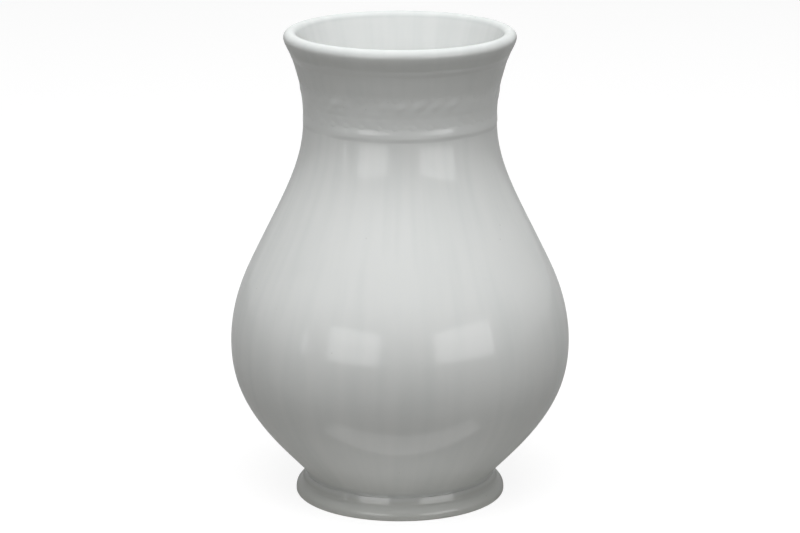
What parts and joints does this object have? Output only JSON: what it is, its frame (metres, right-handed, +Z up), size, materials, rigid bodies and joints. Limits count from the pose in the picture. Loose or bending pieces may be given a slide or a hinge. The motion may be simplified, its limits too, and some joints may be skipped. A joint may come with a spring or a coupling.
{
  "type": "vase",
  "caption": "Low-bellied white porcelain vase with a waisted neck, flared rounded lip, a laurel garland in low relief between border strips, and a luted foot ring.",
  "frame": {"origin": "centre of the standing ring, on the surface that the vase stands on", "axes": "+Z up along the vase's axis; the first sprig of the garland is centred on +X"},
  "size_m": [0.1362, 0.1362, 0.19],
  "materials": {
    "body_glaze": "clear gloss glaze over white porcelain",
    "foot_glaze": "clear gloss glaze, bare biscuit on the standing ring",
    "seam_glaze": "clear gloss glaze pooled in the joint",
    "relief_glaze": "clear gloss glaze softening low relief"
  },
  "bodies": {
    "root": {"vase_body": "body_glaze", "foot_ring": "foot_glaze", "luting_seam": "seam_glaze", "lower_border_strip": "relief_glaze", "upper_border_strip": "relief_glaze", "laurel_sprig_01": "relief_glaze", "laurel_sprig_02": "relief_glaze", "laurel_sprig_03": "relief_glaze", "laurel_sprig_04": "relief_glaze", "laurel_sprig_05": "relief_glaze", "laurel_sprig_06": "relief_glaze", "laurel_sprig_07": "relief_glaze", "laurel_sprig_08": "relief_glaze", "laurel_sprig_09": "relief_glaze", "laurel_sprig_10": "relief_glaze", "laurel_sprig_11": "relief_glaze", "laurel_sprig_12": "relief_glaze", "upper_berries": "relief_glaze", "lower_berries": "relief_glaze"}
  },
  "joints": []
}
